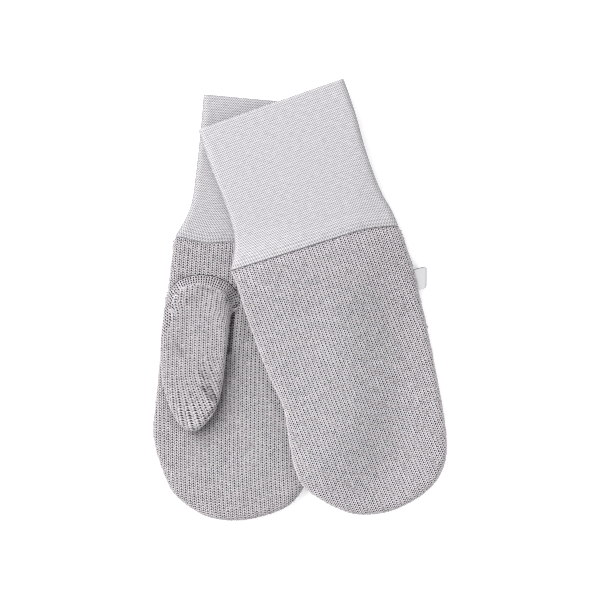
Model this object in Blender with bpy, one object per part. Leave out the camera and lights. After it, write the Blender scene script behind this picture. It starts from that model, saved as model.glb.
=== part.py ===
"""Pair of child's knitted mittens, laid flat one over the other, at real size.

The origin is on the floor under the middle of the pair: X runs across it, Y runs from the
fingertips to the cuffs, and Z points up. Sizes are in millimetres until a mesh is made.

Each mitten is drawn in its own flat frame. "Across" grows to the right, "along" grows from
the mouth of the cuff to the fingertips, and "up" is the height over what the mitten lies on.
The right mitten lies on the floor with its palm and thumb up. The left mitten lies over it
with its back up, so its thumb is under its palm, on the right mitten.
"""

import math
from collections import namedtuple

import bmesh
import bpy
import numpy as np
from mathutils import Matrix

MM = 0.001
COLLECTION = "pair_of_mittens"

# Clearance between two sewn pieces, and between two pieces that lie on each other
SEAM_GAP = 0.3

# Knitted body, its lining counted in the wall
BODY_WALL = 2.6
BODY_HEIGHT = 7.2
BODY_CROWN = 0.6
BODY_EDGE_RADIUS = 4.0
SEAM_DIP = 1.4
SEAM_DIP_REACH = 3.0

# Cuff, a band folded double at its mouth, with a soft ridge beside the seam
CUFF_WALL = 2.0
CUFF_HEIGHT = 5.6
CUFF_CROWN = 0.4
CUFF_EDGE_RADIUS = 3.0
RIDGE_RISE = 0.7
RIDGE_START = 16.0
RIDGE_PEAK = 4.0
RIDGE_DIP = 0.5

# Thumb, a flattened tube closed at its tip, which lies on the palm
THUMB_WALL = 1.8
THUMB_HEIGHT = 6.2
PRESSED_THUMB_HEIGHT = 4.4
THUMB_CROWN = 0.4
THUMB_EDGE_RADIUS = 3.4
THUMB_BASE_RADIUS = 11.0
THUMB_BASE_REACH = 20.0
THUMB_SPINE = (105.0, 150.0)
THUMB_HOLE_ACROSS = -25.5
THUMB_HOLE_ALONG = 100.5
THUMB_HOLE_WIDTH = 27.0
THUMB_HOLE_LENGTH = 12.0

# Folded tab of woven tape, sewn into the side seam of the left mitten
TAB_PLY = 0.8
TAB_FOLD_GAP = 0.6
TAB_FOLD_STEPS = 8

# How far the left mitten takes to come down from the right one, and from its own thumb
COVER_FALL = 44.0
COVER_CUFF_END = 56.0
COVER_BODY_START = 80.0
THUMB_ROOM_FALL = 32.0

# Mesh steps: corners of a rounded edge, rows near a seam, and rows down a piece
EDGE_TURNS = (0.0, 22.5, 45.0, 67.5, 90.0)
SEAM_ROWS = (0.0, 1.4, 2.8, 4.6, 7.2, 11.0)
BODY_ROWS = 22
CUFF_ROWS = (0.0, 0.14, 0.3, 0.46, 0.62, 0.76, 0.86, 0.94, 1.0)
CUFF_RIM_TURNS = (30.0, 70.0, 110.0, 150.0)
THUMB_ROWS = 17
THUMB_FLAT_STEPS = 3
TIP_CENTRE = 168.0
SEAM_BEND_REACH = 30.0
CURVE_STEPS = 10
OUTLINE_CUFF_STEPS = 15
HOLE_SIDES = 20
SHARP_ANGLE = 50.0

# The row of each table that gives a piece's usual width
MIDDLE_ROW = 2
THUMB_MIDDLE_ROW = 5

# The corners of a face in the order that turns it over and keeps its diagonal
TURNED = (0, 3, 2, 1)
MERGE = 0.001 * MM

Row = namedtuple("Row", "along left right")
SeamPoint = namedtuple("SeamPoint", "across along")
TabSide = namedtuple("TabSide", "along start reach")
Mitten = namedtuple(
    "Mitten",
    "side x y heading mouth_lean flat_steps palm_up thumb_shift thumb_height cuff seam body",
)

RIGHT = Mitten(
    side="right",
    x=-10.76,
    y=99.18,
    heading=-7.0,
    mouth_lean=-2.2,
    flat_steps=4,
    palm_up=True,
    thumb_shift=0.0,
    thumb_height=THUMB_HEIGHT,
    cuff=(
        Row(along=0.0, left=-37.4, right=37.4),
        Row(along=18.0, left=-36.8, right=38.0),
        Row(along=38.0, left=-36.5, right=38.6),
        Row(along=53.0, left=-36.7, right=39.6),
        Row(along=61.0, left=-38.2, right=41.0),
        Row(along=68.0, left=-40.7, right=42.6),
        Row(along=73.0, left=-42.9, right=43.4),
    ),
    seam=(
        SeamPoint(across=-42.9, along=72.8),
        SeamPoint(across=-27.0, along=74.5),
        SeamPoint(across=-14.6, along=72.6),
        SeamPoint(across=14.0, along=71.8),
        SeamPoint(across=43.4, along=73.0),
    ),
    body=(
        Row(along=82.0, left=-43.3, right=43.0),
        Row(along=98.0, left=-43.4, right=41.8),
        Row(along=116.0, left=-44.1, right=40.5),
        Row(along=134.0, left=-43.3, right=40.2),
        Row(along=152.0, left=-42.7, right=40.0),
        Row(along=168.0, left=-42.4, right=39.6),
        Row(along=178.0, left=-40.4, right=38.9),
        Row(along=186.5, left=-36.8, right=37.2),
        Row(along=194.0, left=-32.8, right=34.0),
        Row(along=200.5, left=-28.2, right=28.6),
        Row(along=206.3, left=-19.4, right=17.8),
        Row(along=210.2, left=-9.0, right=4.6),
    ),
)

LEFT = Mitten(
    side="left",
    x=-14.51,
    y=97.43,
    heading=14.0,
    mouth_lean=-7.4,
    flat_steps=6,
    palm_up=False,
    thumb_shift=12.0,
    thumb_height=PRESSED_THUMB_HEIGHT,
    cuff=(
        Row(along=0.0, left=-38.0, right=38.3),
        Row(along=18.0, left=-36.8, right=39.7),
        Row(along=35.0, left=-34.8, right=40.2),
        Row(along=48.0, left=-33.6, right=41.4),
        Row(along=58.0, left=-33.7, right=43.0),
        Row(along=66.0, left=-35.8, right=45.5),
        Row(along=74.0, left=-39.4, right=47.0),
    ),
    seam=(
        SeamPoint(across=-39.4, along=75.6),
        SeamPoint(across=-13.0, along=74.1),
        SeamPoint(across=12.7, along=72.5),
        SeamPoint(across=30.5, along=71.7),
        SeamPoint(across=47.0, along=73.8),
    ),
    body=(
        Row(along=84.0, left=-38.0, right=48.4),
        Row(along=98.0, left=-37.1, right=49.0),
        Row(along=116.0, left=-35.4, right=49.0),
        Row(along=132.0, left=-33.3, right=48.6),
        Row(along=148.0, left=-30.4, right=47.8),
        Row(along=164.0, left=-31.6, right=46.9),
        Row(along=178.0, left=-32.2, right=45.6),
        Row(along=188.0, left=-30.4, right=43.6),
        Row(along=196.0, left=-24.3, right=40.0),
        Row(along=202.6, left=-17.2, right=34.0),
        Row(along=207.8, left=-9.6, right=24.4),
        Row(along=210.8, left=1.6, right=12.4),
    ),
)

# Outline of the thumb from the arch of its seam to its tip
THUMB = (
    Row(along=90.2, left=-28.4, right=-20.4),
    Row(along=92.8, left=-36.4, right=-12.8),
    Row(along=97.2, left=-41.0, right=-8.4),
    Row(along=103.5, left=-43.3, right=-6.9),
    Row(along=113.0, left=-43.9, right=-8.7),
    Row(along=127.0, left=-43.5, right=-9.9),
    Row(along=142.4, left=-40.9, right=-10.1),
    Row(along=151.0, left=-38.2, right=-10.9),
    Row(along=158.0, left=-34.8, right=-12.7),
    Row(along=163.8, left=-30.8, right=-16.2),
    Row(along=167.8, left=-26.0, right=-20.4),
)

TAB = (
    TabSide(along=96.9, start=49.3, reach=56.0),
    TabSide(along=107.5, start=49.35, reach=53.2),
)


# Curves and steps

def smooth_curve(points, closed=False):
    """A Catmull-Rom curve through the points, and back to the first if it is closed."""
    points = np.asarray(points, float)
    if closed:
        points = np.vstack((points, points[:1]))
        padded = np.vstack((points[-2], points, points[1]))
    else:
        before = 2 * points[0] - points[1]
        after = 2 * points[-1] - points[-2]
        padded = np.vstack((before, points, after))
    t = np.linspace(0, 1, CURVE_STEPS, endpoint=False)[:, None]
    spans = []
    for k in range(1, len(padded) - 2):
        a, b, c, d = padded[k - 1:k + 3]
        even = 2 * b + (c - a) * t + (2 * a - 5 * b + 4 * c - d) * t ** 2
        spans.append((even + (3 * b - a - 3 * c + d) * t ** 3) / 2)
    return np.vstack(spans + [points[-1:]])


def along_curve(curve, fractions):
    """Points on the curve at these fractions of its length."""
    steps = np.linalg.norm(np.diff(curve, axis=0), axis=1)
    reach = np.concatenate(([0.0], np.cumsum(steps)))
    at = np.asarray(fractions) * reach[-1]
    return np.column_stack([np.interp(at, reach, curve[:, k]) for k in range(2)])


def curve_length(curve):
    return float(np.linalg.norm(np.diff(curve, axis=0), axis=1).sum())


def smooth_step(value):
    """0 at 0 and 1 at 1, level at both ends."""
    value = np.clip(value, 0.0, 1.0)
    return value * value * (3 - 2 * value)


# Outlines in a mitten's flat frame

def seam_along(mitten, across):
    """Where the seam between cuff and body runs, at each place across."""
    curve = smooth_curve([(point.across, point.along) for point in mitten.seam])
    return np.interp(across, curve[:, 0], curve[:, 1])


def body_sides(mitten):
    """The left and right sides of the body, each from the seam to the fingertips."""
    seam_ends = [(point.across, point.along) for point in (mitten.seam[0], mitten.seam[-1])]
    left = [seam_ends[0]] + [(row.left, row.along) for row in mitten.body]
    right = [seam_ends[1]] + [(row.right, row.along) for row in mitten.body]
    curve = smooth_curve(left + right[::-1])
    top = int(np.argmax(curve[:, 1]))
    return curve[:top + 1], curve[top:][::-1]


def cuff_edge(mitten, along, name):
    curve = smooth_curve([(row.along, getattr(row, name)) for row in mitten.cuff])
    return np.interp(along, curve[:, 0], curve[:, 1])


def thumb_sides(shift):
    """The left and right sides of the thumb, each from the arch to the tip."""
    left = [(row.left + shift, row.along) for row in THUMB]
    right = [(row.right + shift, row.along) for row in THUMB]
    loop = smooth_curve(left + right[::-1], closed=True)[:-1]
    loop = np.roll(loop, -int(np.argmin(loop[:, 1])), axis=0)
    tip = int(np.argmax(loop[:, 1]))
    return loop[:tip + 1], np.vstack((loop[tip:], loop[:1]))[::-1]


def mitten_outline(mitten):
    """The whole flat outline, down the left side and back up the right side."""
    along = np.linspace(0.0, mitten.cuff[-1].along, OUTLINE_CUFF_STEPS + 1)[:-1]
    lean = mitten.mouth_lean / 2 * (1 - along / mitten.cuff[-1].along)
    left, right = body_sides(mitten)
    cuff_left = np.column_stack((cuff_edge(mitten, along, "left"), along - lean))
    cuff_right = np.column_stack((cuff_edge(mitten, along, "right"), along + lean))
    return np.vstack((cuff_left, left, right[-2::-1], cuff_right[::-1]))


def distance_outside(points, loop):
    """How far each point lies outside the closed loop, and 0 inside it."""
    start = loop
    end = np.roll(loop, -1, axis=0)
    run = end - start
    offset = points[:, None, :] - start[None]
    part = np.clip((offset * run).sum(2) / (run * run).sum(1), 0.0, 1.0)
    nearest = np.linalg.norm(offset - part[..., None] * run, axis=2).min(1)
    above = (start[:, 1] > points[:, None, 1]) != (end[:, 1] > points[:, None, 1])
    rise = np.where(np.abs(run[:, 1]) < 1e-9, 1e-9, run[:, 1])
    crossing = start[:, 0] + (points[:, None, 1] - start[:, 1]) * run[:, 0] / rise
    inside = (above & (points[:, None, 0] < crossing)).sum(1) % 2 == 1
    return np.where(inside, 0.0, nearest)


# Heights over the surface that a mitten lies on

def crown(across, left, right, rise):
    """A slow swell, highest midway between the two edges."""
    spread = np.clip((2 * across - left - right) / (right - left), -1.0, 1.0)
    return rise * (1 - spread * spread)


def body_top(mitten, across, along):
    """Height of the body's upper face, pressed down beside the seam."""
    past_seam = along - seam_along(mitten, across)
    dip = SEAM_DIP * np.exp(-(past_seam / SEAM_DIP_REACH) ** 2)
    middle = mitten.body[MIDDLE_ROW]
    swell = crown(across, middle.left, middle.right, BODY_CROWN)
    return BODY_HEIGHT - dip + swell * smooth_step(past_seam / RIDGE_START)


def cuff_top(mitten, across, before_seam):
    """Height of the cuff's upper face, with its ridge beside the seam."""
    ridge = RIDGE_RISE * smooth_step((RIDGE_START - before_seam) / (RIDGE_START - RIDGE_PEAK))
    ridge -= RIDGE_DIP * smooth_step(1 - before_seam / RIDGE_PEAK)
    middle = mitten.cuff[MIDDLE_ROW]
    swell = crown(across, middle.left, middle.right, CUFF_CROWN)
    return CUFF_HEIGHT + ridge + swell * smooth_step(before_seam / RIDGE_START)


def to_world(mitten, across, along):
    """Places of a mitten's flat frame on the floor."""
    turn = math.radians(mitten.heading)
    x = mitten.x + across * math.cos(turn) + along * math.sin(turn)
    y = mitten.y + across * math.sin(turn) - along * math.cos(turn)
    return x, y


def to_flat(mitten, x, y):
    """The reverse of to_world."""
    turn = math.radians(mitten.heading)
    across = (x - mitten.x) * math.cos(turn) + (y - mitten.y) * math.sin(turn)
    along = (x - mitten.x) * math.sin(turn) - (y - mitten.y) * math.cos(turn)
    return across, along


def cover_height(x, y):
    """Height that clears the right mitten, falling to the floor outside its outline."""
    across, along = to_flat(RIGHT, x, y)
    outside = distance_outside(np.column_stack((across, along)), mitten_outline(RIGHT))
    step = smooth_step((along - COVER_CUFF_END) / (COVER_BODY_START - COVER_CUFF_END))
    middle = RIGHT.body[MIDDLE_ROW]
    swell = crown(across, middle.left, middle.right, 1.0)
    cuff = CUFF_HEIGHT + CUFF_CROWN * swell
    body = BODY_HEIGHT + BODY_CROWN * swell
    clear = cuff + (body - cuff) * step + SEAM_GAP
    return clear * (1 - smooth_step(outside / COVER_FALL))


def thumb_room(x, y):
    """How far the left mitten is held up by its own thumb, which lies under its palm."""
    flat = np.column_stack(to_flat(LEFT, x, y))
    left, right = thumb_sides(LEFT.thumb_shift)
    outside = distance_outside(flat, np.vstack((left, right[-2:0:-1])))
    room = LEFT.thumb_height + THUMB_CROWN + 2 * SEAM_GAP
    return room * (1 - smooth_step(outside / THUMB_ROOM_FALL))


def placed(mitten, points, over_thumb=True):
    """World places of points of a mitten: (across, along, up) in, (x, y, z) out."""
    shape = points.shape
    flat = points.reshape(-1, 3)
    x, y = to_world(mitten, flat[:, 0], flat[:, 1])
    up = flat[:, 2].copy()
    if mitten is LEFT:
        up += cover_height(x, y)
        if over_thumb:
            up += thumb_room(x, y)
    return np.column_stack((x, y, up)).reshape(shape)


# Surfaces

def cross_rows(left, right, spine, radius, inset, flat_steps):
    """Rows of places from the left edge over the spine to the right edge.

    The places beside an edge follow a rounded wall: at each turn it has come in by the
    radius times one less the cosine. Rise is the sine of the turn, and 1 on the flat.
    """
    turn = np.radians(EDGE_TURNS)
    radius = np.broadcast_to(radius, (len(left),))[:, None]
    sides = []
    for edge in (left, right):
        inward = spine - edge
        reach = np.linalg.norm(inward, axis=1)[:, None]
        rounded = inset + (radius - inset) * (1 - np.cos(turn))
        steps = np.arange(1, flat_steps + 1) / flat_steps
        distance = np.hstack((rounded, radius + (reach - radius) * steps))
        sides.append(edge[:, None] + (inward / reach)[:, None] * distance[..., None])
    rise = np.concatenate((np.sin(turn), np.ones(flat_steps)))
    places = np.concatenate((sides[0], sides[1][:, -2::-1]), axis=1)
    return places, np.concatenate((rise, rise[-2::-1]))


def spine_between(left, right, low, high):
    """The line midway between two sides, held between two places along."""
    across, along = ((left + right) / 2).T
    held = np.clip(along, low, high)
    return np.column_stack((np.interp(held, along, across), held))


def stacked(places, up):
    return np.dstack((places[..., 0], places[..., 1], up))


def grid_faces(rows, columns, start=0, upward=True):
    """Four-sided faces of a grid of points, which face up or down."""
    row, col = np.meshgrid(np.arange(rows - 1), np.arange(columns - 1), indexing="ij")
    first = (start + row * columns + col).ravel()
    faces = np.column_stack((first, first + columns, first + columns + 1, first + 1))
    return faces if upward else faces[:, TURNED]


def strip_faces(one, other):
    """Faces between two lines of point numbers."""
    return np.column_stack((one[:-1], one[1:], other[1:], other[:-1]))


def make_object(name, points, faces, material, collection):
    """A mesh object from points in millimetres, its doubled points merged."""
    mesh = bpy.data.meshes.new(name)
    mesh.from_pydata((points.reshape(-1, 3) * MM).tolist(), [], np.asarray(faces).tolist())
    work = bmesh.new()
    work.from_mesh(mesh)
    bmesh.ops.remove_doubles(work, verts=work.verts, dist=MERGE)
    bmesh.ops.dissolve_degenerate(work, edges=work.edges, dist=MERGE)
    work.to_mesh(mesh)
    work.free()
    mesh.materials.append(material)
    mesh.shade_smooth()
    mesh.set_sharp_from_angle(angle=math.radians(SHARP_ANGLE))
    made = bpy.data.objects.new(name, mesh)
    collection.objects.link(made)
    return made


# Pieces

def body_panel(mitten, upper, name, material, collection):
    """The palm or back: a wall that curves down (or up) to the seam round its edge."""
    left_side, right_side = body_sides(mitten)
    length = (curve_length(left_side) + curve_length(right_side)) / 2
    near = np.array(SEAM_ROWS) / length
    even = np.linspace(near[-1], 1.0, BODY_ROWS + 1)[1:]
    fractions = np.concatenate((near, even))
    left = along_curve(left_side, fractions)
    right = along_curve(right_side, fractions)
    spine = spine_between(left, right, 0.0, TIP_CENTRE)
    surfaces = []
    for inset in (0.0, BODY_WALL):
        places, rise = cross_rows(
            left, right, spine, BODY_EDGE_RADIUS, inset, mitten.flat_steps
        )
        # The first rows bend with the seam, which isn't straight
        ends = np.array((left[0], right[0]))
        chord = np.interp(places[..., 0], ends[:, 0], ends[:, 1])
        bend = seam_along(mitten, places[..., 0]) - chord + SEAM_GAP / 2
        fade = 1 - smooth_step((spine[:, 1] - spine[0, 1]) / SEAM_BEND_REACH)
        places[..., 1] += bend * fade[:, None]
        top = body_top(mitten, places[..., 0], places[..., 1])
        middle = top / 2
        if upper:
            foot = middle + SEAM_GAP / 2
            up = foot + (top - inset - foot) * rise
        else:
            foot = middle - SEAM_GAP / 2
            up = foot - (foot - inset) * rise
        surfaces.append(stacked(places, up))
    outer, inner = surfaces
    rows, columns = outer.shape[:2]
    count = rows * columns
    numbers = np.arange(count).reshape(rows, columns)
    faces = [
        grid_faces(rows, columns, 0, True),
        grid_faces(rows, columns, count, False),
        strip_faces(numbers[:, 0] + count, numbers[:, 0]),
        strip_faces(numbers[:, -1], numbers[:, -1] + count),
        strip_faces(numbers[0], numbers[0] + count),
    ]
    faces = np.vstack(faces)
    if not upper:
        faces = faces[:, TURNED]
    points = placed(mitten, np.concatenate((outer, inner)))
    return make_object(name, points, faces, material, collection)


def cuff_tube(mitten, name, material, collection):
    """The cuff: a flattened tube, rounded over at its mouth where it is folded double."""
    # Each ring has its part of the way from mouth to seam, its depth in the wall, and how
    # far it lies beyond the mouth
    outer_rows = [(part, 0.0, 0.0) for part in CUFF_ROWS[::-1]]
    rim_rows = [
        (0.0, CUFF_WALL / 2 * (1 - math.cos(turn)), CUFF_WALL / 2 * math.sin(turn))
        for turn in np.radians(CUFF_RIM_TURNS)
    ]
    inner_rows = [(part, CUFF_WALL, 0.0) for part in CUFF_ROWS[::2]]
    rings = []
    for part, inset, beyond in outer_rows + rim_rows + inner_rows:
        along = part * mitten.cuff[-1].along
        left = np.array([[cuff_edge(mitten, along, "left"), 0.0]])
        right = np.array([[cuff_edge(mitten, along, "right"), 0.0]])
        places, rise = cross_rows(
            left, right, (left + right) / 2, CUFF_EDGE_RADIUS, inset, mitten.flat_steps
        )
        across = places[0, :, 0]
        spread = (2 * across - left[0, 0] - right[0, 0]) / (right[0, 0] - left[0, 0])
        mouth = spread * mitten.mouth_lean / 2 + CUFF_WALL / 2
        seam = seam_along(mitten, across) - SEAM_GAP / 2
        station = mouth + (seam - mouth) * part
        top = cuff_top(mitten, across, np.maximum(seam - station, 0.0))
        middle = top / 2
        upper = middle + (top - inset - middle) * rise
        lower = middle - (middle - inset) * rise
        ring = np.vstack((
            np.column_stack((across, station - beyond, upper)),
            np.column_stack((across, station - beyond, lower))[-2:0:-1],
        ))
        rings.append(ring)
    rings = np.array(rings)
    count, around = rings.shape[:2]
    numbers = np.arange(count * around).reshape(count, around)
    following = np.roll(numbers, -1, axis=0)
    faces = np.column_stack([
        corner.ravel()
        for corner in (
            numbers,
            np.roll(numbers, -1, axis=1),
            np.roll(following, -1, axis=1),
            following,
        )
    ])
    return make_object(name, placed(mitten, rings), faces, material, collection)


def thumb_pouch(mitten, name, material, collection):
    """The thumb: a flattened pouch, low at the arch of its seam, before its hole is cut."""
    left_side, right_side = thumb_sides(mitten.thumb_shift)
    fractions = (1 - np.cos(np.linspace(0.0, math.pi, THUMB_ROWS + 1))) / 2
    fractions = (fractions + np.linspace(0.0, 1.0, THUMB_ROWS + 1)) / 2
    left = along_curve(left_side, fractions)
    right = along_curve(right_side, fractions)
    spine = spine_between(left, right, *THUMB_SPINE)
    near_arch = 1 - smooth_step((spine[:, 1] - THUMB_SPINE[0]) / THUMB_BASE_REACH)
    radius = THUMB_EDGE_RADIUS + (THUMB_BASE_RADIUS - THUMB_EDGE_RADIUS) * near_arch
    points = []
    faces = []
    for inset in (0.0, THUMB_WALL):
        places, rise = cross_rows(left, right, spine, radius, inset, THUMB_FLAT_STEPS)
        usual = THUMB[THUMB_MIDDLE_ROW]
        across = places[..., 0] - mitten.thumb_shift
        top = mitten.thumb_height + crown(across, usual.left, usual.right, THUMB_CROWN)
        middle = mitten.thumb_height / 2
        for dome in (True, False):
            if dome:
                up = middle + (top - inset - middle) * rise
            else:
                up = middle - (middle - inset) * rise + np.zeros_like(top)
            outward = dome == (inset == 0.0)
            rows, columns = up.shape
            faces.append(grid_faces(rows, columns, len(points) * rows * columns, outward))
            points.append(stacked(places, up))
    points = np.concatenate(points)
    faces = np.vstack(faces)
    if mitten.palm_up:
        palm = body_top(mitten, points[..., 0], points[..., 1])
        points[..., 2] += palm + SEAM_GAP
    else:
        points[..., 2] = mitten.thumb_height + THUMB_CROWN - points[..., 2]
        faces = faces[:, TURNED]
    world = placed(mitten, points, over_thumb=False)
    return make_object(name, world, faces, material, collection)


def thumb_hole(mitten, cutters):
    """The opening between thumb and palm, as an upright oval plug."""
    across = THUMB_HOLE_ACROSS + mitten.thumb_shift
    x, y = to_world(mitten, np.array([across]), np.array([THUMB_HOLE_ALONG]))
    if mitten.palm_up:
        low = BODY_HEIGHT / 2
        high = BODY_HEIGHT + BODY_CROWN + SEAM_GAP + mitten.thumb_height / 2
    else:
        floor = float(cover_height(x, y)[0])
        low = floor + THUMB_CROWN + mitten.thumb_height / 2
        high = floor + float(thumb_room(x, y)[0]) + BODY_HEIGHT / 2
    bpy.ops.mesh.primitive_cylinder_add(vertices=HOLE_SIDES, radius=0.5, depth=1.0)
    plug = bpy.context.object
    plug.name = mitten.side + "_thumb_hole"
    size = THUMB_HOLE_WIDTH * MM, THUMB_HOLE_LENGTH * MM, (high - low) * MM
    plug.data.transform(Matrix.Diagonal((*size, 1.0)))
    plug.rotation_euler.z = math.radians(mitten.heading)
    plug.location = (x[0] * MM, y[0] * MM, (low + high) / 2 * MM)
    plug.hide_render = True
    plug.display_type = "WIRE"
    for owner in list(plug.users_collection):
        owner.objects.unlink(plug)
    cutters.objects.link(plug)
    return plug


def cut_hole(target, plug):
    cut = target.modifiers.new("thumb_opening", "BOOLEAN")
    cut.operation = "DIFFERENCE"
    cut.object = plug
    cut.solver = "EXACT"


def folded_tab(mitten, name, material, collection):
    """The tab: two plies of tape with a round fold at their outer end."""
    half_thick = TAB_FOLD_GAP / 2 + TAB_PLY
    turns = np.radians(np.linspace(90.0, -90.0, TAB_FOLD_STEPS + 1))
    ends = []
    for side in TAB:
        shells = []
        for thick in (half_thick, TAB_FOLD_GAP / 2):
            fold = side.reach - half_thick + thick * np.cos(turns)
            across = np.concatenate(([side.start], fold, [side.start]))
            up = np.concatenate(([thick], thick * np.sin(turns), [-thick]))
            along = np.full_like(across, side.along)
            shells.append(np.column_stack((across, along, up)))
        ends.append(shells)
    middle = body_top(mitten, np.array([TAB[0].start]), np.array([TAB[0].along]))[0] / 2
    points = np.array(ends)
    points[..., 2] += middle
    numbers = np.arange(points[..., 0].size).reshape(points.shape[:3])
    (near_out, near_in), (far_out, far_in) = numbers
    faces = np.vstack((
        strip_faces(near_out, far_out)[:, ::-1],
        strip_faces(near_in, far_in),
        strip_faces(near_in, near_out)[:, ::-1],
        strip_faces(far_out, far_in)[:, ::-1],
        [[near_out[0], near_in[0], far_in[0], far_out[0]]],
        [[near_in[-1], near_out[-1], far_out[-1], far_in[-1]]],
    ))
    return make_object(name, placed(mitten, points), faces, material, collection)


# Materials

def linear(channel):
    """One 0 to 255 channel of a screen colour as a linear value."""
    value = channel / 255
    return value / 12.92 if value <= 0.04045 else ((value + 0.055) / 1.055) ** 2.4


def cloth_material(name, colour, roughness):
    made = bpy.data.materials.new(name)
    made.use_nodes = True
    shader = made.node_tree.nodes["Principled BSDF"]
    shader.inputs["Base Color"].default_value = (*[linear(c) for c in colour], 1.0)
    shader.inputs["Roughness"].default_value = roughness
    shader.inputs["Metallic"].default_value = 0.0
    return made


def build_mitten(mitten, parts, cutters, body_knit, cuff_knit):
    cuff_tube(mitten, mitten.side + "_cuff", cuff_knit, parts)
    palm = body_panel(mitten, mitten.palm_up, mitten.side + "_palm", body_knit, parts)
    body_panel(mitten, not mitten.palm_up, mitten.side + "_back", body_knit, parts)
    thumb = thumb_pouch(mitten, mitten.side + "_thumb", body_knit, parts)
    plug = thumb_hole(mitten, cutters)
    cut_hole(palm, plug)
    cut_hole(thumb, plug)


def main():
    for old in list(bpy.data.objects):
        bpy.data.objects.remove(old, do_unlink=True)
    parts = bpy.data.collections.new(COLLECTION)
    cutters = bpy.data.collections.new("cutters")
    bpy.context.scene.collection.children.link(parts)
    bpy.context.scene.collection.children.link(cutters)
    body_knit = cloth_material("grey_knit", (179, 176, 180), 0.95)
    cuff_knit = cloth_material("pale_fine_knit", (213, 211, 214), 0.92)
    tape = cloth_material("white_tape", (226, 226, 228), 0.8)
    for mitten in (RIGHT, LEFT):
        build_mitten(mitten, parts, cutters, body_knit, cuff_knit)
    folded_tab(LEFT, "left_tab", tape, parts)


main()
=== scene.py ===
import math

import bmesh
import bpy
import numpy as np
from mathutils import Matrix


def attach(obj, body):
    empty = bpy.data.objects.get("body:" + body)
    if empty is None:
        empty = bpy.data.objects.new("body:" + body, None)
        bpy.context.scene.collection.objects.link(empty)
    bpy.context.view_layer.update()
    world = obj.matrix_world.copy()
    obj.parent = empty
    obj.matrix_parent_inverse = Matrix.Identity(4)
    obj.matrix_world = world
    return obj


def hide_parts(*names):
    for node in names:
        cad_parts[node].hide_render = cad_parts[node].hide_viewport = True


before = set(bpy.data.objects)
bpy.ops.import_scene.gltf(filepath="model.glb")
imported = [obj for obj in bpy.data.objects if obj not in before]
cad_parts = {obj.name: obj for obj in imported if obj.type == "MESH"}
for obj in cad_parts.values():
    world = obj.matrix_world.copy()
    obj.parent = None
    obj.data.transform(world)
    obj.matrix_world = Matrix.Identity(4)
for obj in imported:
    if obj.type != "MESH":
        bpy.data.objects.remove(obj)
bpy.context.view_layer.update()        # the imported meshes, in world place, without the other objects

# All sizes are millimetres until a mesh is made. Each mitten is drawn in its own flat frame:
# across grows to the right, along from the mouth of the cuff to the fingertips, and up is the
# height over what the mitten lies on. The right mitten lies on the floor with its palm up, and
# the left one lies over it with its back up.

mm = 0.001
chance = np.random.default_rng(41)

bodyCloth = {
    "height": 7.2, "crown": 0.6, "wall": 2.6, "edgeRadius": 4.0, "gap": 0.3,
    "seamDip": 1.4, "seamDipReach": 3.0, "tipCentre": 168.0, "bendReach": 30.0,
    "ground": 0.45,             # how deep the cloth under the stitches lies
    "wander": 0.1,              # how uneven its height is
    "sideShare": 0.4,           # share of a change in its height that its side takes up
    "sideHeight": 3.5,          # how far the cloth goes down at its side
    "middle": (3.0, 140.0),     # across and along of the middle stitch
    "leanFrom": 110.0, "leanReach": 90.0,
    # Waves of the rows and of the wales: height, length across, length along, start
    "rowWaves": ((0.5, 19.0, 41.0, 0.0), (0.3, 8.3, -17.0, 2.0)),
    "waleWaves": ((0.45, math.inf, 21.0, 1.0), (0.25, 29.0, 9.7, 0.0)),
}

rightMitten = {
    "side": "right", "x": -10.76, "y": 99.18, "heading": -7.0, "mouthLean": -2.2,
    "palmUp": True, "thumbShift": 0.0, "thumbHeight": 6.2,
    # along, left, right
    "cuff": ((0, -37.4, 37.4), (18, -36.8, 38.0), (38, -36.5, 38.6), (53, -36.7, 39.6),
             (61, -38.2, 41.0), (68, -40.7, 42.6), (73, -42.9, 43.4)),
    # across, along
    "seam": ((-42.9, 72.8), (-27.0, 74.5), (-14.6, 72.6), (14.0, 71.8), (43.4, 73.0)),
    "body": ((82, -43.3, 43.0), (98, -43.4, 41.8), (116, -44.1, 40.5), (134, -43.3, 40.2),
             (152, -42.7, 40.0), (168, -42.4, 39.6), (178, -40.4, 38.9), (186.5, -36.8, 37.2),
             (194, -32.8, 34.0), (200.5, -28.2, 28.6), (206.3, -19.4, 17.8),
             (210.2, -9.0, 4.6)),
    "waleLean": (2.0, 11.0), "rowLean": 0.0,
    "yarn": {"waleStep": 2.06, "fat": 1.1, "tone": 2.5, "spread": 0.0},
    # Painted shade by the seam, and painted light that lightens the knit towards the fingertips
    "seamShade": 3.5, "toneFall": 0.4,
}

leftMitten = {
    "side": "left", "x": -14.51, "y": 97.43, "heading": 14.0, "mouthLean": -7.4,
    "palmUp": False, "thumbShift": 12.0, "thumbHeight": 4.4,
    "cuff": ((0, -38.0, 38.3), (18, -36.8, 39.7), (35, -34.8, 40.2), (48, -33.6, 41.4),
             (58, -33.7, 43.0), (66, -35.8, 45.5), (74, -39.4, 47.0)),
    "seam": ((-39.4, 75.6), (-13.0, 74.1), (12.7, 72.5), (30.5, 71.7), (47.0, 73.8)),
    "body": ((84, -38.0, 48.4), (98, -37.1, 49.0), (116, -35.4, 49.0), (132, -33.3, 48.6),
             (148, -30.4, 47.8), (164, -31.6, 46.9), (178, -32.2, 45.6), (188, -30.4, 43.6),
             (196, -24.3, 40.0), (202.6, -17.2, 34.0), (207.8, -9.6, 24.4),
             (210.8, 1.6, 12.4)),
    "waleLean": (4.5, 8.0), "rowLean": 12.0,
    "yarn": {"waleStep": 1.85, "fat": 1.0, "tone": 0.3, "spread": -0.004},
    # Painted shade by the seam, and painted light that lightens the knit towards the fingertips
    "seamShade": 9.0, "toneFall": 0.8,
}


# Curves and outlines

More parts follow.
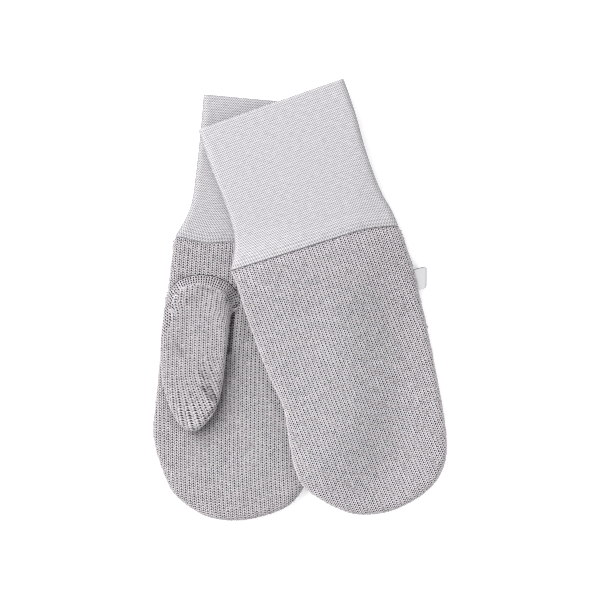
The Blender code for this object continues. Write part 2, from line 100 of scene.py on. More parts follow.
def smoothCurve(points, closed=False, steps=10):
    # Between each two points a cubic, whose slope at a point is half the way from the point
    # before it to the point after it
    points = np.asarray(points, float)
    if closed:
        points = np.vstack((points, points[:1]))
        padded = np.vstack((points[-2], points, points[1]))
    else:
        padded = np.vstack((2 * points[0] - points[1], points, 2 * points[-1] - points[-2]))
    t = np.linspace(0, 1, steps, endpoint=False)[:, None]
    spans = []
    for k in range(1, len(padded) - 2):
        a, b, c, d = padded[k - 1:k + 3]
        even = 2 * b + (c - a) * t + (2 * a - 5 * b + 4 * c - d) * t ** 2
        spans.append((even + (3 * b - a - 3 * c + d) * t ** 3) / 2)
    return np.vstack(spans + [points[-1:]])


def reachOf(curve):
    # Length of a curve up to each of its points
    return np.concatenate(([0.0], np.cumsum(np.linalg.norm(np.diff(curve, axis=0), axis=1))))


def alongCurve(curve, fractions):
    # Points at these fractions of the curve's length
    reach = reachOf(curve)
    at = np.asarray(fractions) * reach[-1]
    return np.column_stack([np.interp(at, reach, curve[:, k]) for k in range(2)])


def smoothStep(value):
    # Three squares less two cubes of the value, which is held between 0 and 1
    value = np.clip(value, 0.0, 1.0)
    return value * value * (3 - 2 * value)


def seamAlong(mitten, across):
    # Where the cuff's seam runs, read off its curve
    curve = smoothCurve(mitten["seam"])
    return np.interp(across, curve[:, 0], curve[:, 1])


def bodySides(mitten):
    # One curve up the left side and down the right one, cut in two at its highest point
    left = [mitten["seam"][0]] + [(row[1], row[0]) for row in mitten["body"]]
    right = [mitten["seam"][-1]] + [(row[2], row[0]) for row in mitten["body"]]
    curve = smoothCurve(left + right[::-1])
    top = int(np.argmax(curve[:, 1]))
    return curve[:top + 1], curve[top:][::-1]


def bodyLoop(mitten):
    # The body's outline, carried straight on past the seam so that the seam isn't rounded
    left, right = bodySides(mitten)
    beyond = np.array((0.0, -30.0))
    return np.vstack((left[0] + beyond, left, right[-2::-1], right[0] + beyond))


def cuffEdge(mitten, along, side):
    # Across of the cuff's left edge (side 1) or right edge (side 2), read off its curve
    curve = smoothCurve([(row[0], row[side]) for row in mitten["cuff"]])
    return np.interp(along, curve[:, 0], curve[:, 1])


def mittenOutline(mitten):
    # Up the cuff's and the body's left side and down the right one, the mouth leaning by half
    # its lean at each end
    end = mitten["cuff"][-1][0]
    along = np.linspace(0.0, end, 16)[:-1]
    lean = mitten["mouthLean"] / 2 * (1 - along / end)
    left, right = bodySides(mitten)
    cuffLeft = np.column_stack((cuffEdge(mitten, along, 1), along - lean))
    cuffRight = np.column_stack((cuffEdge(mitten, along, 2), along + lean))
    return np.vstack((cuffLeft, left, right[-2::-1], cuffRight[::-1]))


def depthInside(across, along, loop):
    # Distance from each place to the nearest side of the loop, negative outside it
    points = np.column_stack((np.ravel(across), np.ravel(along)))
    run = np.roll(loop, -1, axis=0) - loop
    end = loop + run
    found = []
    for part in np.array_split(points, max(1, len(points) // 4000)):
        offset = part[:, None, :] - loop[None]
        share = np.clip((offset * run).sum(2) / (run * run).sum(1), 0.0, 1.0)
        away = np.linalg.norm(offset - share[..., None] * run, axis=2).min(1)
        over = (loop[:, 1] > part[:, None, 1]) != (end[:, 1] > part[:, None, 1])
        rise = np.where(np.abs(run[:, 1]) < 1e-9, 1e-9, run[:, 1])
        crossing = loop[:, 0] + (part[:, None, 1] - loop[:, 1]) * run[:, 0] / rise
        inside = (over & (part[:, None, 0] < crossing)).sum(1) % 2 == 1
        found.append(np.where(inside, away, -away))
    return np.concatenate(found).reshape(np.shape(across))


def toWorld(mitten, across, along):
    # The mitten's flat frame turned by its heading and moved to its place, along pointing down
    turn = math.radians(mitten["heading"])
    x = mitten["x"] + across * math.cos(turn) + along * math.sin(turn)
    y = mitten["y"] + across * math.sin(turn) - along * math.cos(turn)
    return x, y


def toFlat(mitten, x, y):
    # The same the other way round
    turn = math.radians(mitten["heading"])
    x, y = x - mitten["x"], y - mitten["y"]
    return x * math.cos(turn) + y * math.sin(turn), x * math.sin(turn) - y * math.cos(turn)


# Heights

# Soft folds pressed into the cloth: mitten, start and end (across, along), half width, depth
folds = {
    "right": (
        ((-38.0, 84.5), (-16.0, 81.0), 2.6, 0.45), ((-14.0, 82.0), (-3.0, 92.0), 2.2, 0.5),
        ((-2.5, 88.0), (2.5, 104.0), 2.4, 0.35), ((-20.0, 178.0), (8.0, 184.0), 5.0, 0.3),
        ((10.0, 150.0), (18.0, 176.0), 4.0, 0.25),
    ),
    "left": (
        ((-30.0, 92.0), (-12.0, 88.0), 3.5, 0.22), ((10.0, 84.0), (34.0, 88.5), 4.0, 0.2),
        ((-24.0, 150.0), (-8.0, 141.0), 5.0, 0.2), ((22.0, 168.0), (38.0, 178.0), 4.5, 0.22),
        ((-4.0, 186.0), (18.0, 192.0), 5.0, 0.18), ((30.0, 118.0), (42.0, 126.0), 4.0, 0.15),
    ),
}


def foldDepth(rows, across, along):
    # Each fold is a trough: its depth times a bell of the distance to its middle line, faded
    # out towards both ends
    depth = np.zeros_like(across)
    for (a0, b0), (a1, b1), width, deep in rows:
        run = np.array((a1 - a0, b1 - b0))
        share = ((across - a0) * run[0] + (along - b0) * run[1]) / (run @ run)
        held = np.clip(share, 0.0, 1.0)
        away = np.hypot(across - a0 - held * run[0], along - b0 - held * run[1])
        fade = smoothStep(held * 4) * smoothStep((1 - held) * 4)
        depth += deep * np.exp(-(away / width) ** 2) * (0.25 + 0.75 * fade)
    return depth


# Lines pressed into the palm along the thumb, and two raised beside it: points (across, along),
# half width, depth
palmLines = (
    (((-38.0, 95.0), (-33.0, 91.8), (-24.4, 90.2), (-16.0, 91.8), (-9.6, 96.0), (-7.0, 101.5)), 1.2, 0.3),
    (((-8.2, 103.0), (-9.8, 105.5), (-9.7, 112.0), (-9.5, 120.0), (-9.3, 127.0)), 0.9, 1.6),
    (((-4.6, 101.0), (-5.6, 106.0), (-5.6, 113.0), (-5.4, 122.0)), 2.6, -1.3),
)


def distanceTo(curve, across, along):
    # Distance from each place to the nearest point of a curve
    flat = np.column_stack((np.ravel(across), np.ravel(along)))
    away = [np.linalg.norm(part[:, None] - curve[None], axis=2).min(1)
            for part in np.array_split(flat, max(1, len(flat) // 20000))]
    return np.concatenate(away).reshape(np.shape(across))


def crown(across, left, right, rise):
    # A parabola: the whole rise in the middle, nothing at the two edges
    spread = np.clip((2 * across - left - right) / (right - left), -1.0, 1.0)
    return rise * (1 - spread * spread)


def bodyTop(mitten, across, along):
    # The body's height, less a bell-shaped dip at the seam, plus its crown and a slow wander of
    # two sines multiplied, less its folds
    cloth = bodyCloth
    past = along - seamAlong(mitten, across)
    dip = cloth["seamDip"] * np.exp(-(past / cloth["seamDipReach"]) ** 2)
    middle = mitten["body"][2]
    swell = crown(across, middle[1], middle[2], cloth["crown"]) * smoothStep(past / 16.0)
    wander = cloth["wander"] * np.sin(across / 9.0 + along / 23.0 + 1.0)
    wander = wander * np.sin(along / 13.0 - across / 31.0)
    inner = smoothStep(past / 8.0)
    if mitten["palmUp"]:
        # The palm is drawn in along the thumb, and stands up a little beside its right edge
        for line, width, deep in palmLines:
            away = distanceTo(smoothCurve(line, steps=6), across, along)
            dip = dip + deep * np.exp(-(away / width) ** 2)
    pressed = foldDepth(folds[mitten["side"]], across, along)
    return cloth["height"] - dip + swell + inner * (wander - pressed)


def lookUp(table, x, y):
    # Value of a table of heights between its four nearest corners
    low, step, grid = table
    i = np.clip((x - low[0]) / step, 0, grid.shape[0] - 1.001)
    j = np.clip((y - low[1]) / step, 0, grid.shape[1] - 1.001)
    i0, j0 = i.astype(int), j.astype(int)
    s, t = (i - i0)[..., None], (j - j0)[..., None]
    return (grid[i0, j0] * (1 - s) * (1 - t) + grid[i0 + 1, j0] * s * (1 - t)
            + grid[i0, j0 + 1] * (1 - s) * t + grid[i0 + 1, j0 + 1] * s * t)


# How the left mitten lies over the right one and over its own thumb
lie = {
    "table": (-100.0, -130.0),              # x and y of the tables' first corner
    "bodyFrom": 56.0, "bodyReach": 24.0,    # where the cloth climbs from the cuff to the body
    "coverFade": 44.0, "thumbFade": 32.0,   # how far past an edge it sinks back to the floor
    "thumbGap": 0.6,
}


def underTables():
    # Height of what the left mitten lies on: the right mitten, and its own thumb between them.
    # Each is its height where it is, faded by a smooth step of the distance outside it
    low, step = lie["table"], 1.0
    x, y = np.meshgrid(np.arange(low[0], 1 - low[0], step), np.arange(low[1], 1 - low[1], step),
                       indexing="ij")
    across, along = toFlat(rightMitten, x, y)
    outside = np.maximum(-depthInside(across, along, mittenOutline(rightMitten)), 0.0)
    middle = rightMitten["body"][2]
    swell = crown(across, middle[1], middle[2], 1.0)
    cuff = cuffCloth["height"] + cuffCloth["crown"] * swell
    body = bodyCloth["height"] + bodyCloth["crown"] * swell
    climb = smoothStep((along - lie["bodyFrom"]) / lie["bodyReach"])
    clear = cuff + (body - cuff) * climb + bodyCloth["gap"]
    cover = clear * (1 - smoothStep(outside / lie["coverFade"]))
    outside = np.maximum(-depthInside(*toFlat(leftMitten, x, y), thumbLoop(leftMitten)), 0.0)
    room = leftMitten["thumbHeight"] + thumb["crown"] + lie["thumbGap"]
    held = room * (1 - smoothStep(outside / lie["thumbFade"]))
    return (low, step, cover[..., None]), (low, step, held[..., None])


def placed(mitten, points, overThumb=True):
    # (across, along, up) of a mitten in, (x, y, z) out
    x, y = toWorld(mitten, points[..., 0], points[..., 1])
    up = points[..., 2].copy()
    if mitten["side"] == "left":
        up += lookUp(coverTable, x, y)[..., 0]
        if overThumb:
            up += lookUp(roomTable, x, y)[..., 0]
    return np.stack((x, y, up), axis=-1)


# Meshes

def makeMesh(name, points, faces, material, smooth=True, merge=False, uv=None, values=None):
    # Points in millimetres, faces all with the same number of corners; uv is per corner
    mesh = bpy.data.meshes.new(name)
    count, sides = faces.shape
    mesh.vertices.add(len(points))
    mesh.vertices.foreach_set("co", (points * mm).astype(np.float32).ravel())
    mesh.loops.add(count * sides)
    mesh.loops.foreach_set("vertex_index", faces.astype(np.int32).ravel())
    mesh.polygons.add(count)
    mesh.polygons.foreach_set("loop_start", np.arange(0, count * sides, sides, dtype=np.int32))
    mesh.polygons.foreach_set("use_smooth", np.full(count, smooth))
    mesh.update(calc_edges=True)
    if uv is not None:
        layer = mesh.uv_layers.new(name="knit")
        layer.data.foreach_set("uv", uv.astype(np.float32).ravel())
    for label, numbers in (values or {}).items():
        field = mesh.attributes.new(label, "FLOAT", "POINT")
        field.data.foreach_set("value", numbers.astype(np.float32).ravel())
    if merge:
        work = bmesh.new()
        work.from_mesh(mesh)
        bmesh.ops.remove_doubles(work, verts=work.verts, dist=0.002 * mm)
        bmesh.ops.dissolve_degenerate(work, edges=work.edges, dist=0.002 * mm)
        work.to_mesh(mesh)
        work.free()
    mesh.validate()
    mesh.materials.append(material)
    made = bpy.data.objects.new(name, mesh)
    bpy.context.scene.collection.objects.link(made)
    return made


def gridFaces(rows, columns, start=0, upward=True):
    # Squares between each two rows and columns of a grid whose points are numbered from start
    row, column = np.meshgrid(np.arange(rows - 1), np.arange(columns - 1), indexing="ij")
    first = (start + row * columns + column).ravel()
    faces = np.column_stack((first, first + columns, first + columns + 1, first + 1))
    return faces if upward else faces[:, ::-1]


def stripFaces(one, other):
    # Squares between two lines of points
    return np.column_stack((one[:-1], one[1:], other[1:], other[:-1]))


def wallFaces(rows, columns, closed):
    # A wall: its outer grid, its inner grid turned over, and strips that join their edges,
    # along the last row too where it is closed
    count = rows * columns
    numbers = np.arange(count).reshape(rows, columns)
    parts = [gridFaces(rows, columns), gridFaces(rows, columns, count, False),
             stripFaces(numbers[:, 0] + count, numbers[:, 0]),
             stripFaces(numbers[:, -1], numbers[:, -1] + count),
             stripFaces(numbers[0], numbers[0] + count)]
    if closed:
        parts.append(stripFaces(numbers[-1] + count, numbers[-1]))
    return np.vstack(parts)


def declare(pieces, node):
    # Each piece rides on the one body and stands in for a CAD node, which is hidden
    for piece in pieces:
        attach(piece, "root")
        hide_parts(node)


def crossRows(left, right, spine, radius, inset, flatSteps, turnStep=10.0):
    # Rows from the left edge over the spine to the right edge. Beside an edge a place has come
    # in by the radius times one less the cosine of its turn, and after that the steps are even
    turn = np.radians(np.arange(0.0, 90.1, turnStep))
    radius = np.broadcast_to(radius, (len(left),))[:, None]
    sides = []
    for edge in (left, right):
        inward = spine - edge
        reach = np.maximum(np.linalg.norm(inward, axis=1)[:, None], 1e-6)
        rounded = inset + (radius - inset) * (1 - np.cos(turn))
        steps = np.arange(1, flatSteps + 1) / flatSteps
        distance = np.hstack((rounded, radius + (reach - radius) * steps))
        sides.append(edge[:, None] + (inward / reach)[:, None] * distance[..., None])
    return np.concatenate((sides[0], sides[1][:, -2::-1]), axis=1)


def spineBetween(left, right, low, high):
    # The middle line between two sides, held between low and high
    across, along = ((left + right) / 2).T
    held = np.clip(along, low, high)
    return np.column_stack((np.interp(held, along, across), held))


def roundedRise(depth, radius):
    # Height of a quarter circle over the distance from its edge, as a share of its full height
    share = np.clip(depth / radius, 0.0, 1.0)
    return np.sqrt(1 - (1 - share) ** 2)


# Body panels

def panelUp(mitten, upper, across, along, rise, inset):
    # The upper panel climbs from the side seam at half height to the top, the lower one sinks
    # from it to the surface that it lies on
    top = bodyTop(mitten, across, along)
    if upper:
        foot = top / 2 + bodyCloth["gap"] / 2
        return foot + (top - inset - foot) * rise
    foot = bodyCloth["height"] / 2 + (top - bodyCloth["height"]) * bodyCloth["sideShare"]
    foot = foot - bodyCloth["gap"] / 2
    return foot - (foot - inset) * rise


def panelCloth(mitten, upper, name):
    # The cloth under the stitches: a wall between an outer and an inner surface
    leftSide, rightSide = bodySides(mitten)
    fractions = np.concatenate((np.linspace(0.0, 0.05, 8)[:-1], np.linspace(0.05, 1.0, 64)))
    left, right = alongCurve(leftSide, fractions), alongCurve(rightSide, fractions)
    spine = spineBetween(left, right, 0.0, bodyCloth["tipCentre"])
    loop = bodyLoop(mitten)
    radius = bodyCloth["edgeRadius"]
    ends = np.array((left[0], right[0]))
    # Beside the seam the rows bend to follow it
    fade = 1 - smoothStep((spine[:, 1] - spine[0, 1]) / bodyCloth["bendReach"])
    surfaces = []
    for inset in (bodyCloth["ground"], bodyCloth["wall"]):
        places = crossRows(left, right, spine, radius, inset, 26)
        across = places[..., 0]
        bend = seamAlong(mitten, across) - np.interp(across, ends[:, 0], ends[:, 1]) + bodyCloth["gap"] / 2
        along = places[..., 1] + bend * fade[:, None]
        rise = roundedRise(depthInside(across, along, loop) - inset, radius - inset)
        surfaces.append(np.dstack((across, along, panelUp(mitten, upper, across, along, rise, inset))))
    faces = wallFaces(*surfaces[0].shape[:2], closed=False)
    if not upper:
        faces = faces[:, ::-1]
    points = placed(mitten, np.concatenate(surfaces).reshape(-1, 3))
    return makeMesh(name, points, faces, groundShadeMaterial, merge=True)


def sideArc(radius, height):
    # Length of a quarter of an ellipse, from its two half widths
    return math.pi / 2 * np.sqrt((radius ** 2 + height ** 2) / 2)


def clothTable(placeOf, loop, margin, radius, height, outward, lowest=0.0, step=0.75, lying=None):
    # A table from a place on the unrolled cloth to its world place and outward direction. The
    # cloth is rolled over its edge: the last bit of it, a quarter arc wide, goes down the edge,
    # except by the share of it that lies out flat
    low, high = loop.min(0) - margin, loop.max(0) + margin
    across, along = np.meshgrid(np.arange(low[0], high[0], step), np.arange(low[1], high[1], step),
                                indexing="ij")
    depth = depthInside(across, along, loop)
    slopeA, slopeB = np.gradient(depth, step)
    length = np.maximum(np.hypot(slopeA, slopeB), 1e-6)
    slopeA, slopeB = slopeA / length, slopeB / length
    radius = radius(along) if callable(radius) else radius
    arc = sideArc(radius, height)
    reach = depth + arc - radius
    turn = np.clip(reach / arc, lowest, 1.0) * math.pi / 2
    shift = np.where(turn < math.pi / 2, radius * (1 - np.cos(turn)) - depth, 0.0)
    flat = np.zeros_like(along) if lying is None else lying(across, along)
    planA, planB = across + slopeA * shift * (1 - flat), along + slopeB * shift * (1 - flat)
    rise = np.sin(turn) * (1 - flat) + roundedRise(depth, radius) * flat
    world = placeOf(planA, planB, rise)
    # The outward direction is square to the slopes of the world place both ways
    normal = outward * np.cross(np.gradient(world, step, axis=0), np.gradient(world, step, axis=1))
    normal /= np.maximum(np.linalg.norm(normal, axis=2, keepdims=True), 1e-9)
    grid = np.concatenate((world, normal, reach[..., None]), axis=2)
    return (low, step, grid)


# Stitches

knit = {
    "waleStep": 1.93, "courseStep": 1.25,   # one stitch, across and along
    # One leg of a stitch, from its end by the fingertips to its end by the cuff: across from
    # the stitch's middle, along, height and half width
    "leg": ((0.86, 1.18, -0.26, 0.0), (0.72, 0.28, 0.0, 0.34), (0.37, -0.38, 0.05, 0.38),
            (-0.34, -0.64, 0.0, 0.0)),
    "most": (70, 90),                       # stitches counted out each way, across and along
    "thick": 0.32, "sunk": 0.32,            # half thickness, and depth of its middle line
    "jitter": 0.032, "uneven": 0.05, "toneNoise": 0.65,
    # How much fatter and darker than usual, and how far the legs stand apart from their middle
    "fat": 1.0, "tone": 0.0, "spread": 0.0,
}


def legCorners(look):
    # One leg is a leaf round its middle line: a tip, two rings of four corners square to the
    # line, and a second tip
    path = np.array(look["leg"])
    path[1:3, 0] += np.array((1.0, 1.8)) * look["spread"]
    # Beside each corner goes how lit it is, which the yarn paints as light and shade: lightest on top,
    # darker at the sides and tips, darkest underneath
    corners, light = [path[0, :3]], [0.3]
    for k in (1, 2):
        run = path[k + 1, :2] - path[k - 1, :2]
        side = np.array((-run[1], run[0], 0.0)) / np.linalg.norm(run)
        for angle, lit in ((0.0, 0.55), (90.0, 1.0), (180.0, 0.55), (270.0, 0.0)):
            turn = math.radians(angle)
            corners.append(path[k, :3] + side * math.cos(turn) * path[k, 3] * look["fat"]
                           + np.array((0.0, 0.0, math.sin(turn) * look["thick"])))
            light.append(lit)
    corners.append(path[3, :3])
    light.append(0.7)
    return np.array(corners), np.array(light)


def legFaces():
    # Four sides between the two tips: a triangle at each tip and two between the rings
    faces = []
    for k in range(4):
        n = (k + 1) % 4
        faces += [(0, 1 + k, 1 + n), (1 + k, 5 + k, 5 + n), (1 + k, 5 + n, 1 + n), (9, 5 + n, 5 + k)]
    return np.array(faces)


def waved(value, waves, u, v):
    # Adds sines: each its height times the sine of u and v over its two lengths plus its start
    for height, overU, overV, start in waves:
        value = value + height * np.sin(u / overU + v / overV + start)
    return value


def stitches(name, table, lattice, look, keep, floor=None, shade=None):
    # Every stitch is a pair of mirrored legs. Their corners are laid in the knit's own rows,
    # carried to the unrolled cloth and from there to its surface, each as high as it stands
    wide, long = look["most"]
    u, v = np.meshgrid(np.arange(-wide, wide + 1), np.arange(-long, long + 1), indexing="ij")
    u, v = u.ravel() * look["waleStep"], v.ravel() * look["courseStep"]
    middleA, middleB = lattice(u, v)
    kept = keep(v, middleA, middleB, lookUp(table, middleA, middleB)[:, 6])
    u, v = u[kept], v[kept]
    count = len(u)
    leg, light = legCorners(look)
    size = 1 + look["uneven"] * chance.normal(size=(count, 2, 1, 1))
    drift = look["jitter"] * chance.normal(size=(count, 2, 1, 3))
    shape = np.stack((leg, leg * (-1, 1, 1))) * size + drift        # count, 2, 10, 3
    shape = shape * (look["waleStep"] / knit["waleStep"], 1.0, 1.0)
    across, along = lattice(u[:, None, None] + shape[..., 0], v[:, None, None] + shape[..., 1])
    if floor is not None:
        along = np.maximum(along, floor(across))
    found = lookUp(table, across, along)
    world = found[..., :3] + found[..., 3:6] * (shape[..., 2:] - look["sunk"])
    world[..., 2] = np.maximum(world[..., 2], 0.02)
    legs = world.reshape(-1, 10, 3)
    faces = legFaces()
    # A leg whose faces point inwards has a negative volume, and its faces are turned over
    corner = (legs - legs.mean(1, keepdims=True))[:, faces]
    volume = np.einsum("nfk,nfk->n", corner[:, :, 0], np.cross(corner[:, :, 1], corner[:, :, 2]))
    order = np.where((volume < 0)[:, None, None], faces[:, ::-1][None], faces[None])
    order = order + (np.arange(len(legs)) * 10)[:, None, None]
    # Each stitch's tone, partly at random, plus the painted shade and painted light that shade() gives
    tint = np.repeat(look["tone"] + look["toneNoise"] * chance.normal(size=count), 20)
    if shade is not None:
        tint = tint + shade(across.ravel(), along.ravel())
    lit = np.tile(light, len(legs))
    print(name, count, "stitches", order.shape[0] * 16, "triangles")
    return makeMesh(name, legs.reshape(-1, 3), order.reshape(-1, 3), yarnMaterial,
                    values={"tint": tint, "lit": lit})


def bodyLattice(mitten):
    # Wales lean by an angle that changes from the seam to the fingertips, and rows are tilted
    # and wander a little
    low, high = mitten["waleLean"]
    middle = bodyCloth["middle"]
    at = np.linspace(0.0, 260.0, 261)
    lean = np.radians(low + (high - low) * smoothStep((at - bodyCloth["leanFrom"]) / bodyCloth["leanReach"]))
    carried = np.concatenate(([0.0], np.cumsum(np.tan(lean))[:-1]))
    carried -= np.interp(middle[1], at, carried)
    row = math.radians(mitten["rowLean"])

    def lattice(u, v):
        # Along is v less the row's tilt, across is u and what the lean has carried it, both waved
        along = waved(middle[1] + v - u * math.sin(row), bodyCloth["rowWaves"], u, v)
        across = middle[0] + u * math.cos(row) + np.interp(along, at, carried)
        return waved(across, bodyCloth["waleWaves"], u, v), along
    return lattice


panelStitches = {
    "lowest": -0.7,                         # how far down the side the last stitches stand
    "beforeSeam": 0.8, "overSeam": 0.1,     # where they start, and are cut off, beside the seam
    # How far they go on under the thumb: at its arch, and how much more further up
    "under": 1.1, "underMore": 1.9, "underFrom": 104.0, "underReach": 6.0,
    "seamReach": 0.55, "seamWave": 2.3,     # painted shade beside the seam
    "toneMiddle": 145.0, "toneReach": 60.0,     # painted light: lighter towards the fingertips, evening out the lamps' fall-off
    # painted shadow beside the thumb, and painted shade in the gap along its right edge
    "thumbShade": 6.2, "thumbReach": 4.6, "gapShade": 10.0, "gapReach": 0.8,
}


def bodyPanel(mitten, upper, node):
    # A palm or a back: its cloth, and the stitches on it
    look = panelStitches
    label = node.replace("_", "-")
    cloth = panelCloth(mitten, upper, label + "-ground")
    loop = bodyLoop(mitten)
    hidden = thumbLoop(mitten) if mitten["palmUp"] and upper else None

    def placeOf(across, along, rise):
        # World place of the panel's surface
        up = panelUp(mitten, upper, across, along, np.maximum(rise, 0.0), 0.0)
        return placed(mitten, np.stack((across, along, up), axis=-1))

    def keep(v, across, along, reach):
        # Stitches stand on the cloth from the seam on, and stop a little way under the thumb
        kept = (reach > look["lowest"]) & (along > seamAlong(mitten, across) - look["beforeSeam"])
        if hidden is not None:
            more = look["underMore"] * smoothStep((along - look["underFrom"]) / look["underReach"])
            kept &= depthInside(across, along, hidden) < look["under"] + more
        return kept

    def floor(across):
        # No stitch goes past the seam
        return seamAlong(mitten, across) + look["overSeam"]

    def shade(across, along):
        # Painted shade on the first row, where it is drawn in by the seam, more at some stitches than at
        # others
        past = along - seamAlong(mitten, across)
        uneven = 0.7 + 0.3 * np.sin(across * look["seamWave"])
        paintedShading = mitten["seamShade"] * uneven * np.exp(-(past / look["seamReach"]) ** 2)
        # Painted light: the knit is a little lighter towards the fingertips, evening out the lamps' fall-off
        paintedShading = paintedShading - mitten["toneFall"] * (along - look["toneMiddle"]) / look["toneReach"]
        if hidden is None:
            return paintedShading
        # Painted shadow on the palm close beside the thumb, most of all on its right, and painted shade in
        # the gap along its right edge
        away = np.maximum(-depthInside(across, along, hidden), 0.0)
        beside = (0.12 + 0.88 * smoothStep((across + 28.0) / 12.0)) * smoothStep((along - 122.0) / 8.0)
        gap = distanceTo(smoothCurve(palmLines[1][0], steps=12), across, along)
        paintedShading = paintedShading + look["thumbShade"] * beside * np.exp(-away / look["thumbReach"])
        return paintedShading + look["gapShade"] * np.exp(-(gap / look["gapReach"]) ** 2)

    table = clothTable(placeOf, loop, 8.0, bodyCloth["edgeRadius"], bodyCloth["sideHeight"],
                       -1 if upper else 1)
    yarn = stitches(label + "-stitches", table, bodyLattice(mitten), dict(knit, **mitten["yarn"]),
                    keep, floor, shade)
    declare((cloth, yarn), node)
    return cloth


# Thumb

thumb = {
    "wall": 1.8, "crown": 0.4, "edgeRadius": 3.4, "baseRadius": 11.0, "baseReach": 11.0,
    "spine": (105.0, 150.0), "ground": 0.45,
    "sideHeight": 3.1,                  # how far the cloth goes down at its side
    "archEnd": (-8.0, 101.5, 5.0),      # across, along, reach
    "archFrom": 98.0, "archReach": 14.0,    # where the slower swell beside the arch fades out
    "rimHeight": 0.3,                   # how high the rim of the arch stands on the palm
    # The line that the stitches beside the arch follow, from its left to past its right end
    "archRim": ((-43.5, 132.0), (-43.9, 118.0), (-43.8, 108.5), (-42.6, 101.0), (-41.0, 97.0),
                (-36.4, 92.8), (-28.4, 90.2), (-20.4, 90.2), (-12.8, 92.8), (-8.4, 97.0),
                (-5.8, 102.0), (-4.4, 108.0)),
    # along, left, right, from the arch of its seam to its tip
    "rows": ((90.2, -28.4, -20.4), (92.8, -36.4, -12.8), (97.0, -41.0, -8.4),
             (101.0, -42.6, -7.0), (104.6, -43.5, -9.0), (108.5, -43.8, -10.5),
             (114.0, -43.9, -10.5), (127.0, -43.5, -10.2), (142.4, -40.9, -10.2),
             (151.0, -38.2, -10.9), (158.0, -34.8, -12.7), (163.8, -30.8, -16.2),
             (167.8, -26.0, -20.4)),
    # Start and end, half width and depth, as the folds of the body
    "folds": (((-22.3, 136.9), (-18.6, 143.4), 0.6, 0.8), ((-18.6, 143.4), (-11.7, 153.0), 0.6, 1.1),
              ((-18.6, 138.0), (-12.9, 148.4), 0.5, 0.8), ((-21.8, 144.4), (-12.3, 153.3), 0.6, 0.9),
              ((-17.1, 162.0), (-11.0, 154.6), 0.6, 1.2), ((-15.2, 163.6), (-11.4, 158.5), 0.5, 0.9),
              ((-16.0, 162.8), (-11.2, 156.6), 0.45, -0.8), ((-17.0, 141.5), (-12.4, 150.5), 0.45, -0.6),
              ((-30.0, 98.0), (-17.0, 97.0), 1.8, 0.35), ((-36.0, 104.0), (-24.0, 101.5), 2.2, 0.3),
              ((-38.0, 124.0), (-30.0, 133.0), 3.0, 0.25)),
    # Painted shade in the folds, and painted highlight on the raised lines
    "foldShade": 7.5,
    "middle": (-26.0, 128.0),           # across and along of the middle stitch
    "rowWaves": ((0.25, 6.0, 23.0, 0.0),), "waleWaves": ((0.25, math.inf, 11.0, 0.0),),
    "lowest": -4.2, "tucked": 4.4,      # how far down and under the edge the last stitches stand
    "band": 0.6, "bandDepth": 9.0,      # narrowest band beside the arch, and most rows in it
    "gatherFrom": (-25.5, 150.5),       # across and along where the knit is drawn together
    # The yarn of most of it, of its gathered tip and of the band beside its arch
    "yarn": {"": {"waleStep": 2.16, "courseStep": 1.24, "fat": 1.24, "tone": 3.5},
             "tip-": {"waleStep": 2.16, "courseStep": 1.24, "fat": 1.08, "tone": 1.9, "spread": 0.02},
             "arch-": {"waleStep": 1.45, "courseStep": 1.24, "fat": 0.88, "tone": 1.5, "spread": 0.1}},
}


def thumbSides(shift):
    # The thumb's closed curve, cut in two at its lowest and its highest point
    left = [(row[1] + shift, row[0]) for row in thumb["rows"]]
    right = [(row[2] + shift, row[0]) for row in thumb["rows"]]
    loop = smoothCurve(left + right[::-1], closed=True)[:-1]
    loop = np.roll(loop, -int(np.argmin(loop[:, 1])), axis=0)
    tip = int(np.argmax(loop[:, 1]))
    return loop[:tip + 1], np.vstack((loop[tip:], loop[:1]))[::-1]


def thumbLoop(mitten):
    # Up the left side and down the right one, without the right one's two shared ends
    left, right = thumbSides(mitten["thumbShift"])
    return np.vstack((left, right[-2:0:-1]))


def thumbRadius(along):
    # The edge's own radius, grown to that of the base by a smooth step towards the arch
    near = 1 - smoothStep((along - thumb["spine"][0]) / thumb["baseReach"])
    return thumb["edgeRadius"] + (thumb["baseRadius"] - thumb["edgeRadius"]) * near


def thumbPlace(mitten, across, along, rise, inset):
    # Above half height the thumb climbs to its crown, below it it tucks in to the palm
    usual = thumb["rows"][7]
    shift, tall = mitten["thumbShift"], mitten["thumbHeight"]
    top = tall + crown(across - shift, usual[1], usual[2], thumb["crown"])
    top = top - foldDepth(thumb["folds"], across - shift, along)
    # Beside the arch it starts from the palm itself, and swells more slowly
    arch = 1 - smoothStep((along - thumb["archFrom"]) / thumb["archReach"])
    low = thumb["rimHeight"] - inset if inset <= thumb["ground"] else inset + 0.05
    half = tall / 2 + (low - tall / 2) * arch
    swell = np.maximum(rise, 0.0) ** (1 + 0.8 * arch)
    # The right end of the arch runs out flat on the palm
    end = thumb["archEnd"]
    flush = np.exp(-(((across - shift - end[0]) ** 2 + (along - end[1]) ** 2) / end[2] ** 2) ** 2)
    top = top + (half + inset + 0.35 - top) * flush
    lower = 0.6 * flush * (inset > 0.0)
    half, top = half - lower, top - lower
    up = np.where(rise >= 0, half + (top - inset - half) * swell, half + (half - inset) * rise)
    # There its hollow closes up between the two outer faces
    if inset > thumb["ground"]:
        up = up + (0.02 * rise - up) * smoothStep(flush * 3)
    elif inset > 0.0:
        up = up - 0.3 * flush * (rise < 0)
    if mitten["palmUp"]:
        up = up + bodyTop(mitten, across, along) + bodyCloth["gap"]
    else:
        up = tall + thumb["crown"] - up
    return placed(mitten, np.stack((across, along, up), axis=-1), overThumb=False)


